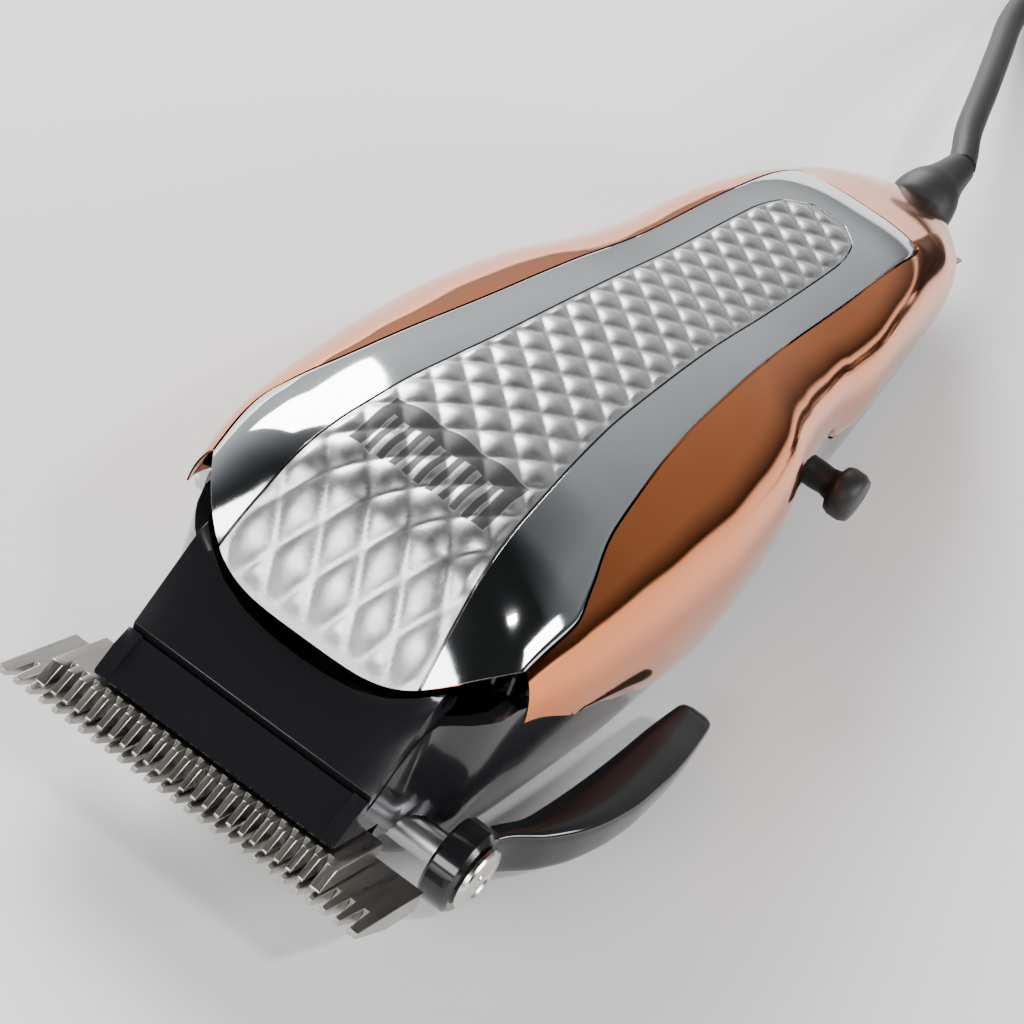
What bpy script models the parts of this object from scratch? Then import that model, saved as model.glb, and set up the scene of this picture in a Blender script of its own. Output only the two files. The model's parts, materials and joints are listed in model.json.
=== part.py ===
"""Corded lever-type hair clipper with a vibrator motor.

Everything below is worked out in millimetres in the design frame: x to the lever side, y back from
the tips of the fixed blade, z up from the surface that the clipper lies on. place() turns that into
Blender metres, with the origin on the underside rest face.
"""
import math

import bmesh
import bpy
import numpy as np
from mathutils import Matrix, Vector

MM = 0.001
MID_Y = 90.0            # the design y that becomes the world's y = 0

# ---- driving dimensions, mm ----------------------------------------------------------------------
BODY_LENGTH = 164.0     # blade tips to the rear edge of the two shells
WALL = 1.8              # shell wall
GAP = 0.3               # clearance between solids that touch

# cover: stations along the body, then half-width, crown height, height of the widest point and the
# exponent of the superellipse that joins them
WIDTH_Y = (17, 22, 26, 34, 44, 54, 64, 74, 82, 90, 98, 106, 116, 126, 136, 146, 153, 159, 164)
WIDTH = (20.6, 21.3, 22.3, 24.1, 25.0, 25.4, 25.3, 24.5, 23.3, 21.1, 19.3, 18.2, 17.8, 16.6, 15.3,
         14.0, 12.2, 9.6, 6.6)
CROWN_Y = (17, 20, 23, 26, 30, 34, 42, 50, 66, 82, 98, 114, 130, 146, 159, 164)
CROWN = (26.0, 31.0, 35.0, 38.4, 40.4, 41.1, 41.4, 40.9, 38.9, 36.4, 33.2, 30.6, 28.0, 22.4, 17.0, 14.6)
WIDEST_Y = (17, 26, 60, 100, 150, 164)
WIDEST = (22.0, 23.8, 21.2, 17.6, 12.5, 9.4)
ROUND_Y = (17, 26, 45, 80, 110, 164)
ROUND = (4.5, 2.9, 2.7, 2.9, 3.2, 2.6)
# parting line between cover and housing
PART_Y = (17, 26, 34, 46, 58, 74, 84, 89, 93, 98, 103, 107, 112, 120, 140, 164)
PART_Z = (25.0, 26.4, 23.4, 17.8, 13.0, 11.4, 12.8, 15.6, 20.0, 20.8, 20.0, 15.6, 12.6, 11.0, 10.0, 8.8)
# front edge of the cover: y = FRONT_Y + FRONT_BOW * x**4
FRONT_Y = 17.2
FRONT_BOW = 5.0e-5

# chrome trim and quilted badge: half-widths along the body, seen from above
BADGE_Y = (17, 26, 34, 42, 50, 58, 66, 82, 98, 118, 124, 128)
BADGE = (13.0, 11.6, 10.6, 9.8, 8.9, 8.2, 7.8, 7.2, 6.9, 6.5, 5.4, 2.4)
TRIM_Y = (17, 26, 34, 42, 50, 58, 66, 74, 82, 98, 114, 130, 136, 139)
TRIM = (20.2, 20.8, 19.5, 17.4, 15.9, 14.6, 13.6, 12.9, 12.3, 11.3, 11.0, 10.4, 10.1, 9.4)
TRIM_REAR = 139.0
BADGE_REAR = 128.0
TRIM_THICK = 2.0
BADGE_THICK = 1.0

# nose ramp from the seam to the cover
SEAM_Y, SEAM_Z, NOSE_HALF = 10.3, 20.3, 15.3
NOSE_FRONT_Y, NOSE_FRONT_Z = 5.4, 16.9
RAMP_RISE, RAMP_DISH = 0.60, 0.46

# blades: they lie in a plane that falls 20 degrees to the rear from the tips; places on them are
# (x, u, w) with u back along the plane and w up from it
TIP_Z = 15.2
BLADE_TILT = math.radians(20)
BLADE_HALF, TEETH, TOOTH_PITCH, TOOTH_DEPTH = 23.2, 27, 1.72, 5.0
FIXED_DEPTH, FIXED_THICK, TAIL_HALF, TAIL_DEPTH = 15.0, 2.6, 11.0, 22.0
MOVING_HALF, MOVING_TEETH, MOVING_PITCH, MOVING_DEPTH = 18.4, 24, 1.52, 13.2
MOVING_SHIFT = -0.9     # the moving blade has stopped a little to the left

# taper lever: axis of the shaft, and the sections of its arm as (y, inner x, outer x, top, bottom)
LEVER_Y, LEVER_Z = 21.5, 8.4
HUB_RADIUS, HUB_FROM, HUB_TO, CAP_RADIUS = 5.0, 21.2, 24.9, 3.75
LEVER_ARM = ((22.0, 21.8, 24.2, 11.6, 5.4), (25.8, 22.8, 25.4, 11.4, 5.2), (30.5, 24.6, 28.6, 11.0, 4.9),
             (35.0, 25.1, 30.6, 10.6, 4.7), (40.0, 25.5, 31.8, 10.1, 4.7), (45.0, 25.8, 32.3, 9.6, 5.0),
             (50.0, 26.0, 32.3, 9.1, 5.4), (54.5, 26.1, 32.0, 8.6, 5.8), (58.8, 26.3, 31.4, 8.0, 6.0),
             (63.0, 26.6, 30.7, 7.5, 5.8))
CRANK_U, CRANK_W = 23.15, 2.75  # where the eccentric pin stands in the fork of the carriage

# motor: the arm turns on a pin at the rear and its tip drives the moving blade
PIVOT_X, PIVOT_Y = 5.0, 114.0
ARM_LOW, ARM_HIGH = 16.9, 18.3
ARM_LINE = ((0.0, 11.2), (0.0, 22.0), (6.8, 58.0), (6.8, 100.0), (5.0, 114.0))
ARM_HALF = (1.2, 1.5, 1.6, 1.6, 2.4)
SPRING_Y, SPRING_Z = 40.0, 16.8

SWITCH_Y, SWITCH_Z = 98.0, 17.0
SCREWS = ((-12.0, 44.0), (12.0, 44.0), (-7.5, 137.0), (7.5, 137.0))

# cord: route past the strain relief, out of the rear, down to the table and away to the right
CORD_RADIUS = 2.0
CORD_ROUTE = ((0, 179.1, 12.6), (-0.6, 181.2, 12.6), (-2.2, 184.6, 12.4), (-4.2, 190.4, 11.9),
              (-7.9, 203.8, 10.0), (-12.7, 220.8, 7.0), (-16.8, 235.6, 4.5), (-18.8, 251, 2.8),
              (-15.7, 266.5, 2.3), (-7.6, 280.4, 2.3), (5.0, 290.4, 2.3), (21.0, 295.1, 2.3))
COIL_CENTRE, COIL_RADIUS, COIL_WIDE, COIL_HIGH = (25.0, 263.0), 22.0, 16.0, 16.4
PLUG_PLACE, PLUG_TURN = (59.5, 229.0, 7.2), math.pi


# ---- helpers ---------------------------------------------------------------------------------------
def curve(stations, values):
    """A smooth function through the stations: cubic pieces with limited slopes, so it never overshoots."""
    s, v = np.array(stations, float), np.array(values, float)
    step, rise = np.diff(s), np.diff(v) / np.diff(s)
    slope = np.zeros_like(v)
    slope[0], slope[-1] = rise[0], rise[-1]
    same = rise[:-1] * rise[1:] > 0
    weight_a, weight_b = 2 * step[1:] + step[:-1], step[1:] + 2 * step[:-1]
    safe = np.where(same, rise[:-1], 1), np.where(same, rise[1:], 1)
    slope[1:-1] = np.where(same, (weight_a + weight_b) / (weight_a / safe[0] + weight_b / safe[1]), 0)

    def at(y):
        y = np.clip(np.asarray(y, float), s[0], s[-1])
        i = np.clip(np.searchsorted(s, y, side="right") - 1, 0, len(s) - 2)
        t = (y - s[i]) / step[i]
        low = v[i] * (2 * t**3 - 3 * t**2 + 1) + slope[i] * step[i] * (t**3 - 2 * t**2 + t)
        return low + v[i + 1] * (3 * t**2 - 2 * t**3) + slope[i + 1] * step[i] * (t**3 - t**2)
    return at


width, crown = curve(WIDTH_Y, WIDTH), curve(CROWN_Y, CROWN)
widest, roundness = curve(WIDEST_Y, WIDEST), curve(ROUND_Y, ROUND)
parting = curve(PART_Y, PART_Z)
badge_half, trim_half = curve(BADGE_Y, BADGE), curve(TRIM_Y, TRIM)


ALONG_X = Matrix(((0, 0, 1, 0), (1, 0, 0, 0), (0, 1, 0, 0), (0, 0, 0, 1)))
BLADE = Matrix(((1, 0, 0, 0),
                (0, math.cos(BLADE_TILT), math.sin(BLADE_TILT), 0),
                (0, -math.sin(BLADE_TILT), math.cos(BLADE_TILT), TIP_Z),
                (0, 0, 0, 1)))


def place(x, y, z):
    return Vector((x, y - MID_Y, z)) * MM


def new_material(name, colour, roughness, metallic=0.0):
    made = bpy.data.materials.new(name)
    made.use_nodes = True
    shader = made.node_tree.nodes["Principled BSDF"]
    shader.inputs["Base Color"].default_value = (*colour, 1)
    shader.inputs["Roughness"].default_value = roughness
    shader.inputs["Metallic"].default_value = metallic
    made.diffuse_color = (*colour, 1)
    return made


def add(name, mesh, material, parent=None, origin=(0, MID_Y, 0)):
    """Link a mesh whose vertices are design millimetres, with its origin at a design point."""
    base = place(*origin)
    mesh.transform(Matrix.Translation(-base) @ Matrix.Translation(place(0, 0, 0)) @ Matrix.Scale(MM, 4))
    made = bpy.data.objects.new(name, mesh)
    made.location = base
    made.data.materials.clear()
    made.data.materials.append(material)
    PARTS.objects.link(made)
    if parent:
        made.parent = parent
        made.location = base - parent.location
    return made


def from_bmesh(name, work):
    bmesh.ops.recalc_face_normals(work, faces=work.faces)
    mesh = bpy.data.meshes.new(name)
    work.to_mesh(mesh)
    work.free()
    return mesh


def box_mesh(name, centre, size, turn=None):
    work = bmesh.new()
    bmesh.ops.create_cube(work, size=1)
    shape = Matrix.Translation(centre) @ (turn or Matrix()) @ Matrix.Diagonal((*size, 1))
    bmesh.ops.transform(work, matrix=shape, verts=work.verts)
    return from_bmesh(name, work)


def rod_mesh(name, centre, axis, radius, length, sides=40, top=None):
    work = bmesh.new()
    bmesh.ops.create_cone(work, cap_ends=True, segments=sides, radius1=radius,
                          radius2=radius if top is None else top, depth=length)
    turn = Vector((0, 0, 1)).rotation_difference(Vector(axis)).to_matrix().to_4x4()
    bmesh.ops.transform(work, matrix=Matrix.Translation(centre) @ turn, verts=work.verts)
    return from_bmesh(name, work)


def turned_mesh(name, profile, centre, axis, sides=40):
    """Turn a profile of (radius, height) points about the axis through centre; it starts and ends on
    the axis, or closes into a ring when it does neither."""
    turn = Vector((0, 0, 1)).rotation_difference(Vector(axis)).to_matrix().to_4x4()
    frame = Matrix.Translation(centre) @ turn
    solid = profile[0][0] == 0
    work = bmesh.new()
    rings = []
    for radius, height in profile:
        if radius == 0:
            rings.append([work.verts.new(frame @ Vector((0, 0, height)))] * sides)
            continue
        ring = [math.tau * k / sides for k in range(sides)]
        rings.append([work.verts.new(frame @ Vector((radius * math.cos(a), radius * math.sin(a), height)))
                      for a in ring])
    pairs = list(zip(rings, rings[1:])) if solid else list(zip(rings, rings[1:] + rings[:1]))
    for a, b in pairs:
        for k in range(sides):
            n = (k + 1) % sides
            corners = [a[k], a[n], b[n], b[k]]
            work.faces.new([v for i, v in enumerate(corners) if v not in corners[:i]])
    return from_bmesh(name, work)


def lofted_mesh(name, rings, sides=24):
    """Upright circles (y, z, radius) joined one to the next and closed at both ends."""
    work = bmesh.new()
    loops = []
    for y, z, radius in rings:
        loops.append([work.verts.new((radius * math.cos(a), y, z + radius * math.sin(a)))
                      for a in np.arange(sides) * math.tau / sides])
    for a, b in zip(loops, loops[1:]):
        for k in range(sides):
            work.faces.new((a[k], a[k - 1], b[k - 1], b[k]))
    work.faces.new(loops[0])
    work.faces.new(loops[-1])
    return from_bmesh(name, work)


def joined(name, *meshes):
    """Several meshes as one, for cutting."""
    work = bmesh.new()
    for mesh in meshes:
        work.from_mesh(mesh)
    return from_bmesh(name, work)


def slab_mesh(name, outline, low, high, frame=None):
    """Extrude a closed outline of (x, y) points from z = low to z = high, then move it into frame."""
    work = bmesh.new()
    bottom = [work.verts.new((x, y, low)) for x, y in outline]
    top = [work.verts.new((x, y, high)) for x, y in outline]
    work.faces.new(bottom)
    work.faces.new(top)
    for i in range(len(outline)):
        j = (i + 1) % len(outline)
        work.faces.new((bottom[i], bottom[j], top[j], top[i]))
    if frame:
        bmesh.ops.transform(work, matrix=frame, verts=work.verts)
    return from_bmesh(name, work)


def shell_mesh(name, outer, inner):
    """Close two matching grids of points, rows by columns, into one solid."""
    rows, cols = outer.shape[:2]
    work = bmesh.new()
    grids = [[[work.verts.new(p) for p in row] for row in grid] for grid in (outer, inner)]
    for grid in grids:
        for i in range(rows - 1):
            for j in range(cols - 1):
                work.faces.new((grid[i][j], grid[i][j + 1], grid[i + 1][j + 1], grid[i + 1][j]))
    out, back = grids
    for i in range(rows - 1):
        for j in (0, cols - 1):
            work.faces.new((out[i][j], out[i + 1][j], back[i + 1][j], back[i][j]))
    for j in range(cols - 1):
        for i in (0, rows - 1):
            work.faces.new((out[i][j], out[i][j + 1], back[i][j + 1], back[i][j]))
    return from_bmesh(name, work)


def bevel(made, size, segments=2, angle=40):
    edge = made.modifiers.new("Rounded edges", "BEVEL")
    edge.width = size * MM
    edge.segments = segments
    edge.limit_method = "ANGLE"
    edge.angle_limit = math.radians(angle)
    return made


def cut(made, mesh, operation="DIFFERENCE"):
    """Boolean a mesh in design millimetres into an object of the clipper."""
    mesh.transform(Matrix.Translation(place(0, 0, 0)) @ Matrix.Scale(MM, 4))
    tool = bpy.data.objects.new(made.name + "_tool", mesh)
    CUTTERS.objects.link(tool)
    tool.hide_render = True
    tool.display_type = "WIRE"
    step = made.modifiers.new(operation.title(), "BOOLEAN")
    step.operation = operation
    step.solver = "EXACT"
    step.object = tool
    return made


def tube(name, points, radius, material, parent=None, resolution=2, origin=(0, MID_Y, 0)):
    """A round wire through design points, with closed ends."""
    line = bpy.data.curves.new(name, "CURVE")
    line.dimensions = "3D"
    line.bevel_depth = radius * MM
    line.bevel_resolution = resolution
    line.use_fill_caps = True
    run = line.splines.new("POLY")
    run.points.add(len(points) - 1)
    base = place(*origin)
    for point, p in zip(run.points, points):
        point.co = (*(place(*p) - base), 1)
    line.materials.append(material)
    made = bpy.data.objects.new(name, line)
    made.location = base - (parent.location if parent else Vector())
    made.parent = parent
    PARTS.objects.link(made)
    return made


def smooth_route(points, spacing):
    """Points at an even spacing on a Catmull-Rom curve through the given points."""
    p = np.array(points, float)
    p = np.vstack((2 * p[0] - p[1], p, 2 * p[-1] - p[-2]))
    dense = []
    for i in range(1, len(p) - 2):
        t = np.linspace(0, 1, 40, endpoint=False)[:, None]
        dense.append(0.5 * (2 * p[i] + (p[i + 1] - p[i - 1]) * t
                            + (2 * p[i - 1] - 5 * p[i] + 4 * p[i + 1] - p[i + 2]) * t**2
                            + (3 * p[i] - p[i - 1] - 3 * p[i + 1] + p[i + 2]) * t**3))
    dense = np.vstack(dense + [p[-2:-1]])
    along = np.concatenate(([0], np.cumsum(np.linalg.norm(np.diff(dense, axis=0), axis=1))))
    stops = np.linspace(0, along[-1], max(2, round(along[-1] / spacing)) + 1)
    return np.stack([np.interp(stops, along, dense[:, k]) for k in range(3)], axis=1)


def joint_empty(name, x, y, z):
    made = bpy.data.objects.new(name, None)
    made.location = place(x, y, z)
    made.empty_display_size = 0.005
    PARTS.objects.link(made)
    return made


# ---- skin of the cover -----------------------------------------------------------------------------
def skin_height(x, y):
    """Height of the cover's skin over a point inside its plan."""
    n = roundness(y)
    ratio = np.clip(np.abs(x) / width(y), 0, 1) ** n
    return widest(y) + (crown(y) - widest(y)) * (1 - ratio) ** (1 / n)


def side_points(y, start_x, count):
    """Points down one side of a section, from start_x on the skin to the parting line."""
    n, w, low, top = roundness(y), width(y), widest(y), crown(y)
    begin = math.asin(min(1.0, (start_x / w) ** (n / 2)))
    end = math.pi / 2
    if parting(y) > low:
        end = math.acos(((parting(y) - low) / (top - low)) ** (n / 2))
    angle = np.linspace(begin, max(end, begin + 0.02), 60)
    angle = np.clip(angle, 0, math.pi / 2 - 1e-9)
    x = w * np.sin(angle) ** (2 / n)
    z = low + (top - low) * np.cos(angle) ** (2 / n)
    if parting(y) < low:
        drop = np.linspace(0, 1, 12)[1:]
        x = np.append(x, w - 0.9 * drop**2)
        z = np.append(z, low - (low - parting(y)) * drop)
    along = np.concatenate(([0], np.cumsum(np.hypot(np.diff(x), np.diff(z)))))
    stops = np.linspace(0, along[-1], count)
    return np.interp(stops, along, x), np.interp(stops, along, z)


def front_shift(x, y):
    """How far back the cover's curved front edge pushes a point of row y."""
    fade = np.clip((44 - y) / (44 - FRONT_Y), 0, 1)
    return FRONT_BOW * np.abs(x) ** 4 * fade


def skin_row(y, inner_steps, outer_steps, side_steps):
    """One row of the skin from the left parting line over the crown to the right one."""
    half_badge, half_trim = float(badge_half(y)), float(trim_half(y))
    x = np.concatenate((np.linspace(0, half_badge, inner_steps),
                        np.linspace(half_badge + 0.12, half_trim, outer_steps)))
    row = []
    for value in x:
        station = y + front_shift(value, y)
        row.append((value, station, float(skin_height(value, station))))
    edge = y + front_shift(half_trim, y)
    side_x, side_z = side_points(edge, half_trim + 0.12, side_steps)
    row += [(a, edge, b) for a, b in zip(side_x, side_z)]
    row = np.array(row)
    mirror = row[:0:-1] * (-1, 1, 1)
    return np.vstack((mirror, row))


INNER, OUTER, SIDE = 4, 3, 8


def skin(stations):
    """Grid of skin points and the outward normals of the smooth skin there."""
    grid, facing = [], []
    for y in stations:
        row = skin_row(y, INNER, OUTER, SIDE)
        ahead = skin_row(max(y - 0.4, FRONT_Y), INNER, OUTER, SIDE)
        behind = skin_row(min(y + 0.4, BODY_LENGTH), INNER, OUTER, SIDE)
        out = np.cross(np.gradient(row, axis=0), behind - ahead)
        grid.append(row)
        facing.append(out / np.linalg.norm(out, axis=1)[:, None])
    return np.array(grid), np.array(facing)


def zones():
    """Which columns of a skin row lie in the badge, in the trim and in the side."""
    half = [0] * INNER + [1] * OUTER + [2] * SIDE
    return np.array(half[:0:-1] + half)


def even(low, high, count):
    return list(np.linspace(low, high, count))


# ---- shells ----------------------------------------------------------------------------------------
BODY_ROWS = even(34, 84, 9) + [87, 89, 91, 93, 95.5, 98, 100.5, 103, 105, 107, 110] + even(116, 134, 4)
BODY_ROWS += [TRIM_REAR, TRIM_REAR + 0.25] + even(143, BODY_LENGTH, 7)


def make_cover():
    rows = even(FRONT_Y, 31, 7) + BODY_ROWS
    grid, facing = skin(rows)
    column = zones()
    covered = (np.array(rows) <= TRIM_REAR)[:, None] & (column < 2)[None, :]
    recess = np.where(covered, TRIM_THICK + GAP, 0)
    thin_front = np.clip((np.array(rows) - FRONT_Y) / 9, 0, 1)[:, None]
    depth = np.where(covered, TRIM_THICK + GAP + 0.3 + 0.9 * thin_front, WALL)
    outer = grid - facing * recess[:, :, None]
    inner = grid - facing * depth[:, :, None]
    rim = [0, -1]
    inner[:, rim] = outer[:, rim] * (1, 1, 1)
    inner[:, rim, 0] -= np.sign(outer[:, rim, 0]) * (WALL - 0.2)
    outer[:, rim, 2] += GAP / 2
    inner[:, rim, 2] += GAP / 2
    add("top_cover", shell_mesh("top_cover", outer, inner), COPPER)


def make_trim():
    rows = even(FRONT_Y, 31, 7) + even(34, 120, 14) + [124, 126.5, BADGE_REAR, BADGE_REAR + 0.25]
    rows += even(131, TRIM_REAR - 0.3, 3)
    grid, facing = skin(rows)
    column = zones()
    keep = np.nonzero(column < 2)[0]
    grid, facing, column = grid[:, keep], facing[:, keep], column[keep]
    under_badge = (np.array(rows) <= BADGE_REAR)[:, None] & (column == 0)[None, :]
    outer = grid - facing * np.where(under_badge, BADGE_THICK + GAP, 0)[:, :, None]
    inner = grid - facing * TRIM_THICK
    for side in (outer, inner):
        side[:, [0, -1], 0] -= np.sign(side[:, [0, -1], 0]) * 0.15
    add("chrome_trim", shell_mesh("chrome_trim", outer, inner), CHROME)


def make_badge():
    rows = even(FRONT_Y, 31, 7) + even(34, 120, 14) + [124, 126.5, BADGE_REAR - 0.4]
    grid, facing = skin(rows)
    keep = np.nonzero(zones() == 0)[0]
    outer = grid[:, keep]
    inner = outer - facing[:, keep] * BADGE_THICK
    for side in (outer, inner):
        side[:, [0, -1], 0] -= np.sign(side[:, [0, -1], 0]) * 0.2
    add("quilted_badge", shell_mesh("quilted_badge", outer, inner), SATIN)


# housing: height of its bottom, then the half-width and the rim height of its nose
FLOOR_Y = (5.4, 14, 20, 24, 34, 46, 138, 154, 164)
FLOOR_Z = (13.0, 7.2, 2.8, 1.5, 0.4, 0, 0, 1.6, 4.4)
TOP_Y = (5.4, 18.2, 20, 22.4, 25.2, 27)
TOP_HALF = (15.5, 15.5, 15.8, 18.0, 20.0, 20.7)
RIM_Y = (5.4, 10.1, 10.4, 15.5, 18, 21.5, 24, 27)
RIM_Z = (16.9, 20.2, 18.5, 23.4, 24.4, 24.7, 25.0, 25.4)
floor_height = curve(FLOOR_Y, FLOOR_Z)
nose_half, nose_rim = curve(TOP_Y, TOP_HALF), curve(RIM_Y, RIM_Z)
boxy = curve((5.4, 18, 30, 60), (0.34, 0.36, 0.6, 0.7))
tuck = curve((27, 34, 46, 74, 86, 93, 103, 110, 164), (1.9, 2.3, 2.6, 2.4, 1.4, 0.4, 0.4, 0.9, 0.9))


def housing_section(y, inset, steps=9):
    """Half of a housing section: down the side from the rim and in along the flat bottom."""
    if y < 27:
        half, top = float(nose_half(y)), float(nose_rim(y))
    else:
        half = float(width(y)) - float(tuck(y))
        top = float(parting(y)) - GAP / 2
    low = float(floor_height(y))
    flat = half * 0.55
    angle = np.linspace(0, math.pi / 2, steps)
    power = float(boxy(y))
    x = flat + (half - flat) * np.cos(angle) ** power
    z = top + (low - top) * np.sin(angle) ** power
    x = np.append(x, (flat * 0.6, flat * 0.25, 0))
    z = np.append(z, (low, low, low))
    if inset:
        x = np.where(x > flat, flat + (x - flat) * (half - inset - flat) / (half - flat), x)
        z = np.where(z < top, top + (z - top) * (top - low - inset) / (top - low), z)
    return np.stack((x, np.full_like(x, y), z), axis=1)


def make_housing():
    rows = [5.6, 8, 10.1, 10.4, 11.3, 12.4, 14, 16, 18, 20, 21.2, 22.4, 23.8, 25.2, 27, 29, 31.5] + BODY_ROWS
    grids = []
    for inset in (0, WALL):
        halves = [housing_section(y, inset) for y in rows]
        grids.append(np.array([np.vstack((row * (-1, 1, 1), row[-2::-1])) for row in halves]))
    made = add("lower_housing", shell_mesh("lower_housing", *grids), BLACK)
    bar = ((5.4, 16.7), (5.4, 16.95), (10.0, 20.0), (10.0, 12.0), (6.0, 12.0))
    posts = [rod_mesh("post", (x, y, 6.6), (0, 0, 1), 3.2, 11.2, 24) for x, y in SCREWS]
    cut(made, slab_mesh("bar", bar, -15.35, 15.35, ALONG_X), "UNION")
    cut(made, joined("posts", *posts), "UNION")
    bores = [rod_mesh("bore", (x, y, 8), (0, 0, 1), 1.6, 14, 24) for x, y in SCREWS]
    sinks = [rod_mesh("sink", (x, y, 0.25), (0, 0, 1), 2.7, 2.5, 24) for x, y in SCREWS]
    for tools in (bores, sinks):
        cut(made, joined("holes", *tools))
    bay = ((-6, -12), (22.7, -12), (22.7, 0.3), (15.1, 0.3), (15.1, 3.2), (-6, 3.2))
    cut(made, slab_mesh("bay", bay, -32, 32, BLADE @ ALONG_X))
    cut(made, rod_mesh("lever_hole", (18, LEVER_Y, LEVER_Z), (1, 0, 0), 2.4, 12, 32))
    cut(made, rod_mesh("screw_hole", (-23, SPRING_Y, SPRING_Z), (1, 0, 0), 1.9, 8, 24))
    cut(made, box_mesh("slot", (18.5, SWITCH_Y, SWITCH_Z), (8, 8.0, 4.2)))


def ramp(x, y):
    return SEAM_Z + (y - SEAM_Y) * (RAMP_RISE + RAMP_DISH * (x / NOSE_HALF) ** 2)


def make_nose_cap():
    """Dished ramp from the seam up to the cover, with a step down to a shelf under the cover's lip."""
    columns = (-15.4, -13.5, -13.2, -10.5, -7, -3.5, 0, 3.5, 7, 10.5, 13.2, 13.5, 15.4)
    top, bottom = [], []
    for step in np.concatenate((np.linspace(0, 1, 8), (1.05, 1.6))):
        for x in columns:
            edge = FRONT_Y + FRONT_BOW * x**4 - 0.4
            lip = float(skin_height(x, edge + 0.4)) - 0.9
            y = 10.6 + min(step, 1) * (edge - 10.6)
            z = min(ramp(x, y), lip)
            if step > 1:
                y, z = edge + 0.05 + (step - 1.05) * 6, min(ramp(x, edge), lip) - 2.4
            skirt = float(nose_rim(y)) + 0.35
            top.append((x, y, z))
            bottom.append((x, y, skirt if abs(x) > 13.4 else z - 1.8))
    shape = (-1, len(columns), 3)
    mesh = shell_mesh("nose_cap", np.array(top).reshape(shape), np.array(bottom).reshape(shape))
    add("nose_cap", mesh, BLACK)


# ---- blades ----------------------------------------------------------------------------------------
def comb_outline(half, count, pitch, shift, front, root, back, tip_fill, root_fill):
    """Outline with teeth towards the front, as (x, u) points."""
    points = []
    for i in range(count):
        centre = (i - (count - 1) / 2) * pitch + shift
        left = -half + shift if i == 0 else centre - pitch * root_fill / 2
        right = half + shift if i == count - 1 else centre + pitch * root_fill / 2
        left_tip = left if i == 0 else centre - pitch * tip_fill / 2
        right_tip = right if i == count - 1 else centre + pitch * tip_fill / 2
        points += [(left, root), (left_tip, front), (right_tip, front), (right, root)]
    return points + [(half + shift, back), (-half + shift, back)]


def make_blades(slide, stroke):
    fixed = comb_outline(BLADE_HALF, TEETH, TOOTH_PITCH, 0, 0, TOOTH_DEPTH, FIXED_DEPTH, 0.42, 0.68)
    tail = [(TAIL_HALF, FIXED_DEPTH), (TAIL_HALF, TAIL_DEPTH), (-TAIL_HALF, TAIL_DEPTH),
            (-TAIL_HALF, FIXED_DEPTH)]
    fixed = fixed[:-1] + tail + fixed[-1:]
    made = add("fixed_blade", slab_mesh("fixed_blade", fixed, -FIXED_THICK, 0, BLADE), STEEL, slide)
    thin = ((-1, -0.5), (9, -2.7), (9, -4), (-1, -4))
    cut(made, slab_mesh("thin", thin, -30, 30, BLADE @ ALONG_X))
    holes = [turned_mesh("hole", ((0, -4), (1.7, -4), (1.7, 2), (0, 2)), BLADE @ Vector((x, 18.5, 0)),
                         BLADE.to_3x3() @ Vector((0, 0, 1)), 24) for x in (-8, 8)]
    cut(made, joined("holes", *holes))
    moving = comb_outline(MOVING_HALF, MOVING_TEETH, MOVING_PITCH, MOVING_SHIFT, 1.0, 4.6,
                          MOVING_DEPTH, 0.5, 0.56)
    made = add("moving_blade", slab_mesh("moving_blade", moving, 0.25, 2.75, BLADE), STEEL, stroke)
    bevel_cut = ((-0.9, -1.91), (4.4, 4.95), (-0.9, 5.5))
    cut(made, slab_mesh("bevel_cut", bevel_cut, -30, 30, BLADE @ ALONG_X))
    guide = ((-8, 3.05), (8, 3.05), (8, 4.4), (3.2, 4.4), (3.2, 6.6), (1.7, 6.6), (1.7, 4.4),
             (-1.7, 4.4), (-1.7, 6.6), (-3.2, 6.6), (-3.2, 4.4), (-8, 4.4))
    stand = BLADE @ Matrix(((1, 0, 0, 0), (0, 0, 1, 0), (0, 1, 0, 0), (0, 0, 0, 1)))
    add("cutter_guide", slab_mesh("cutter_guide", guide, 9.9, 12.6, stand), WHITE, stroke)


def make_carriage(slide):
    outline = ((-12.4, 15.8), (12.4, 15.8), (12.4, 18.9), (11.4, 18.9), (11.4, 21.75), (8.2, 21.75),
               (8.2, 24.55), (11.4, 24.55), (11.4, 26), (6.6, 26), (6.6, 21), (-12.4, 21))
    made = add("taper_carriage", slab_mesh("taper_carriage", outline, 0.3, 4.2, BLADE), WHITE, slide)
    up = BLADE.to_3x3() @ Vector((0, 0, 1))
    holes = [turned_mesh("hole", ((0, -1), (1.6, -1), (1.6, 6), (0, 6)), BLADE @ Vector((x, 18.5, 0)),
                         up, 24) for x in (-8, 8)]
    cut(made, joined("holes", *holes))
    profile = ((0, -3.9), (2.0, -3.9), (2.6, -3.4), (2.6, -2.9), (1.3, -2.9), (1.3, 3.9), (0, 3.9))
    for side, x in (("left", -8), ("right", 8)):
        name = "blade_screw_" + side
        made = add(name, turned_mesh(name, profile, BLADE @ Vector((x, 18.5, 0)), up, 24), ZINC, slide)
        cut(made, slab_mesh("slot", ((x - 3, 18.1), (x + 3, 18.1), (x + 3, 18.9), (x - 3, 18.9)),
                            -4.2, -3.4, BLADE))
    wire = [(-5.6, 12.2, 5.4), (-5.8, 16, 5.1), (-5.8, 18.6, 5.0), (-5, 20, 5.0), (-3.4, 20.6, 5.0),
            (0, 20.6, 5.0), (3.4, 20.6, 5.0), (5, 20, 5.0), (5.8, 18.6, 5.0), (5.8, 16, 5.1), (5.6, 12.2, 5.4)]
    route = smooth_route([BLADE @ Vector(p) for p in wire], 1.3)
    tube("blade_spring", route, 0.45, ZINC, slide)


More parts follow.
